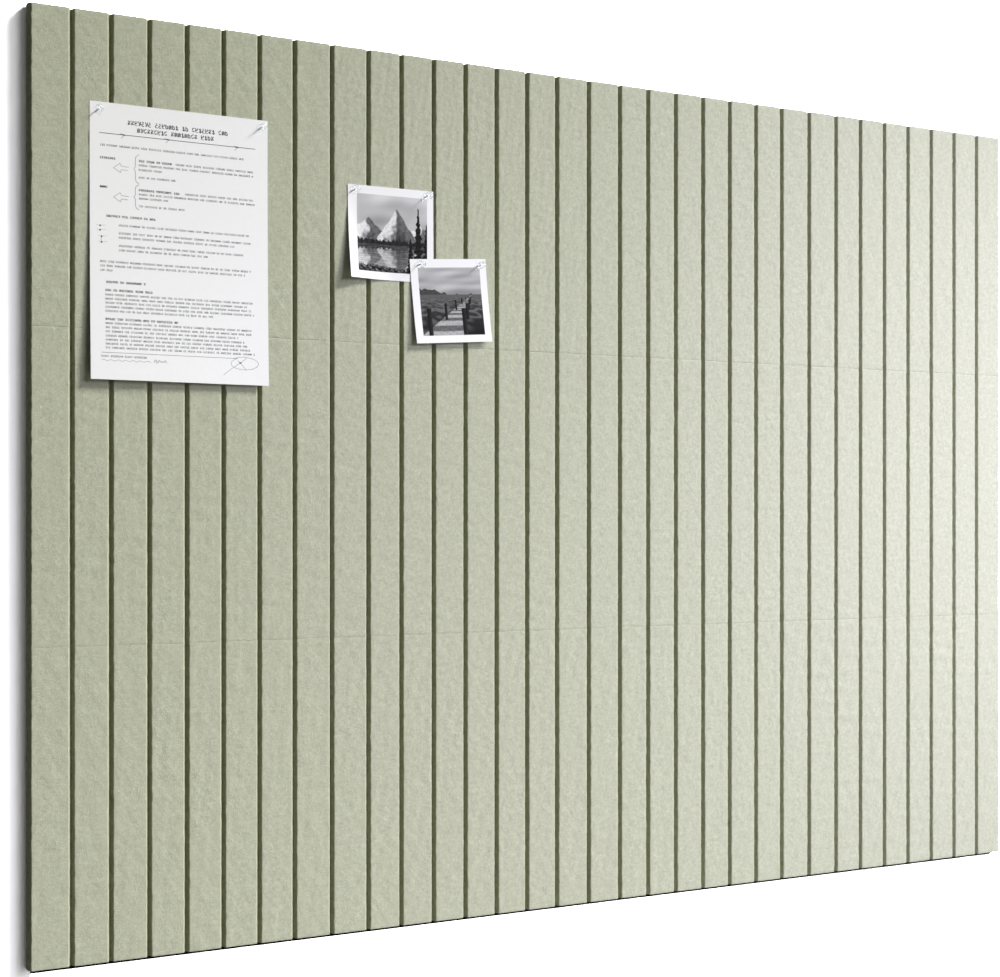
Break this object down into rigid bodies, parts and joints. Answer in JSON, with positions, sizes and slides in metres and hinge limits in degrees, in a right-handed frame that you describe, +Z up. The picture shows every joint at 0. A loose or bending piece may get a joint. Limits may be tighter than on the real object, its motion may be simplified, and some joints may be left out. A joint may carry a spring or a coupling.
{
  "type": "felt bulletin board",
  "caption": "Wall bulletin board of square grooved felt tiles on foam tape, with a pinned notice, two pinned prints and clear push pins.",
  "frame": {"origin": "centre of the board on the wall plane, where the tapes' back faces lie", "axes": "+X to the right seen from the front, +Y into the wall, +Z up; the felt faces -Y"},
  "size_m": [1.1996, 0.0264, 0.8996],
  "materials": {
    "felt": "matte",
    "foam_tape": "matte",
    "notice_paper": "matte",
    "print_paper": "satin",
    "clear_plastic": "gloss",
    "needle_steel": "polished"
  },
  "bodies": {
    "board": {"felt_tile_top_1": "felt", "felt_tile_top_2": "felt", "felt_tile_top_3": "felt", "felt_tile_top_4": "felt", "felt_tile_middle_1": "felt", "felt_tile_middle_2": "felt", "felt_tile_middle_3": "felt", "felt_tile_middle_4": "felt", "felt_tile_bottom_1": "felt", "felt_tile_bottom_2": "felt", "felt_tile_bottom_3": "felt", "felt_tile_bottom_4": "felt", "foam_tape_top_1_upper": "foam_tape", "foam_tape_top_1_lower": "foam_tape", "foam_tape_top_2_upper": "foam_tape", "foam_tape_top_2_lower": "foam_tape", "foam_tape_top_3_upper": "foam_tape", "foam_tape_top_3_lower": "foam_tape", "foam_tape_top_4_upper": "foam_tape", "foam_tape_top_4_lower": "foam_tape", "foam_tape_middle_1_upper": "foam_tape", "foam_tape_middle_1_lower": "foam_tape", "foam_tape_middle_2_upper": "foam_tape", "foam_tape_middle_2_lower": "foam_tape", "foam_tape_middle_3_upper": "foam_tape", "foam_tape_middle_3_lower": "foam_tape", "foam_tape_middle_4_upper": "foam_tape", "foam_tape_middle_4_lower": "foam_tape", "foam_tape_bottom_1_upper": "foam_tape", "foam_tape_bottom_1_lower": "foam_tape", "foam_tape_bottom_2_upper": "foam_tape", "foam_tape_bottom_2_lower": "foam_tape", "foam_tape_bottom_3_upper": "foam_tape", "foam_tape_bottom_3_lower": "foam_tape", "foam_tape_bottom_4_upper": "foam_tape", "foam_tape_bottom_4_lower": "foam_tape"},
    "typed_notice": {"typed_notice": "notice_paper"},
    "upper_print": {"upper_print": "print_paper"},
    "lower_print": {"lower_print": "print_paper"},
    "notice_pin_left": {"notice_pin_left_head": "clear_plastic", "notice_pin_left_needle": "needle_steel"},
    "notice_pin_right": {"notice_pin_right_head": "clear_plastic", "notice_pin_right_needle": "needle_steel"},
    "upper_print_pin_left": {"upper_print_pin_left_head": "clear_plastic", "upper_print_pin_left_needle": "needle_steel"},
    "upper_print_pin_right": {"upper_print_pin_right_head": "clear_plastic", "upper_print_pin_right_needle": "needle_steel"},
    "lower_print_pin_left": {"lower_print_pin_left_head": "clear_plastic", "lower_print_pin_left_needle": "needle_steel"},
    "lower_print_pin_right": {"lower_print_pin_right_head": "clear_plastic", "lower_print_pin_right_needle": "needle_steel"}
  },
  "joints": [
    {"name": "typed_notice_lift_off", "type": "slide", "parent": "board", "child": "typed_notice", "axis": [0, -1, 0], "range_m": [0, 0.04]},
    {"name": "upper_print_lift_off", "type": "slide", "parent": "board", "child": "upper_print", "axis": [0, -1, 0], "range_m": [0, 0.04]},
    {"name": "lower_print_lift_off", "type": "slide", "parent": "upper_print", "child": "lower_print", "axis": [0, -1, 0], "range_m": [0, 0.04]},
    {"name": "notice_pin_left_pull", "type": "slide", "parent": "typed_notice", "child": "notice_pin_left", "axis": [0, -1, 0], "range_m": [0, 0.02]},
    {"name": "notice_pin_right_pull", "type": "slide", "parent": "typed_notice", "child": "notice_pin_right", "axis": [0, -1, 0], "range_m": [0, 0.02]},
    {"name": "upper_print_pin_left_pull", "type": "slide", "parent": "upper_print", "child": "upper_print_pin_left", "axis": [0, -1, 0], "range_m": [0, 0.02]},
    {"name": "upper_print_pin_right_pull", "type": "slide", "parent": "upper_print", "child": "upper_print_pin_right", "axis": [0, -1, 0], "range_m": [0, 0.02]},
    {"name": "lower_print_pin_left_pull", "type": "slide", "parent": "lower_print", "child": "lower_print_pin_left", "axis": [0, -1, 0], "range_m": [0, 0.02]},
    {"name": "lower_print_pin_right_pull", "type": "slide", "parent": "lower_print", "child": "lower_print_pin_right", "axis": [0, -1, 0], "range_m": [0, 0.02]}
  ]
}
